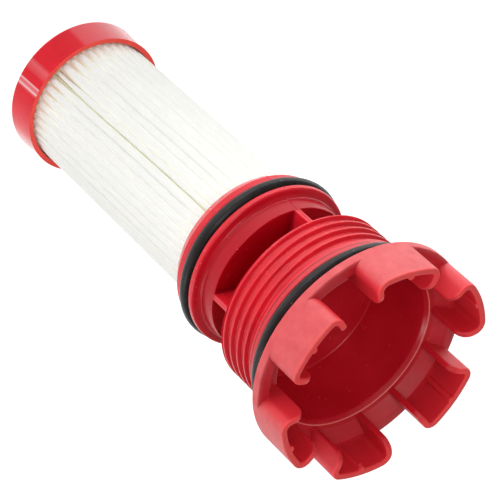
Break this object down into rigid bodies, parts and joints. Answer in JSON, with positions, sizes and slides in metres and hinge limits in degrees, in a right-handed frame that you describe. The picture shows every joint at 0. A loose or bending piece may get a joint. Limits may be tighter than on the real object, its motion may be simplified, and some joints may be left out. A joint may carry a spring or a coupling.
{
  "type": "fuel filter cartridge",
  "caption": "Screw-in fuel filter cartridge: plastic head with grip lugs, coarse thread and windowed neck, two O-rings, bonded pleated element and a closed end cap.",
  "frame": {"origin": "middle of the end cap's flat closed end", "axes": "+Z along the cartridge's axis from the end cap to the tips of the grip lugs; +X through the middle of one lug and along one web"},
  "size_m": [0.062, 0.062, 0.1443],
  "materials": {
    "head_plastic": "satin red moulded plastic",
    "seal_rubber": "black moulded rubber, slight sheen",
    "filter_medium": "white pleated sheet, matte",
    "cast_adhesive": "pale yellow cast adhesive",
    "tube_plastic": "plain off-white moulded plastic",
    "end_cap_plastic": "glossy red moulded plastic"
  },
  "bodies": {
    "root": {"head_moulding": "head_plastic", "flange_o_ring": "seal_rubber", "neck_o_ring": "seal_rubber", "pleated_medium": "filter_medium", "seam_bead": "cast_adhesive", "centre_tube": "tube_plastic", "end_cap": "end_cap_plastic", "end_potting": "cast_adhesive", "neck_potting": "cast_adhesive"}
  },
  "joints": []
}
